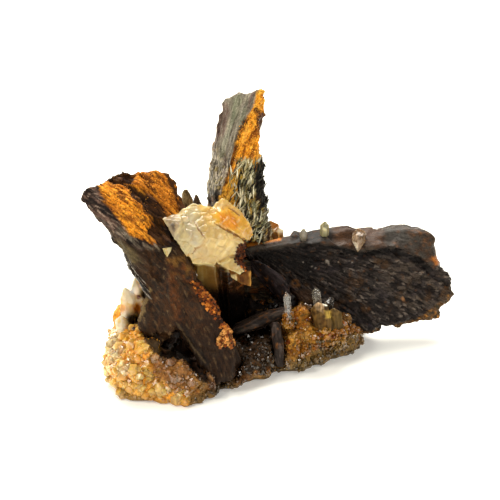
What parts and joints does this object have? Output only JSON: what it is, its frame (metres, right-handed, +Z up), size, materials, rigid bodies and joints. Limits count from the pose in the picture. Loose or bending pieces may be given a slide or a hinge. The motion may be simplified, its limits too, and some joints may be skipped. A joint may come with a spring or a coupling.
{
  "type": "siderite specimen",
  "caption": "Dark lustrous siderite blades crossing and fanning out of a quartz druse, with a cream quartz crystal between them and orange limonite on the broken ends.",
  "frame": {"origin": "on the ground plane, under the middle of the whole specimen's bounding box; the flat underside of the matrix lies in Z = 0", "axes": "+Z up, +X to the right along the specimen's width, -Y towards the viewer of the main face"},
  "size_m": [0.0536, 0.0338, 0.0392],
  "materials": {
    "siderite_dark": "submetallic, striated, with rusty spots; stands in for siderite",
    "siderite_limonite": "grey lustrous face and granular orange limonite on the broken side; stands in for altered siderite",
    "quartz_cream": "cloudy cream quartz with iron stains; stands in for quartz",
    "quartz_clear": "clear glassy quartz; stands in for quartz",
    "quartz_smoky": "olive smoky quartz; stands in for quartz",
    "druse": "crust of small quartz crystals on brown rock; stands in for rock"
  },
  "bodies": {
    "root": {"matrix": "druse", "right_blade": "siderite_dark", "tall_blade": "siderite_limonite", "crossed_blades": "siderite_dark", "under_blade": "siderite_dark", "cavity_blade": "siderite_dark", "upright_blade": "siderite_dark", "back_blade_a": "siderite_dark", "back_blade_b": "siderite_dark", "quartz_group": "quartz_cream", "quartz_tip_low": "quartz_smoky", "olive_crystal": "quartz_smoky", "needle_front": "quartz_clear", "needle_pair": "quartz_clear", "back_quartz": "quartz_cream", "rim_quartz": "quartz_cream", "rim_knob_a": "quartz_clear", "rim_knob_b": "quartz_clear", "chip_quartz": "quartz_cream", "left_quartz": "quartz_clear"}
  },
  "joints": []
}
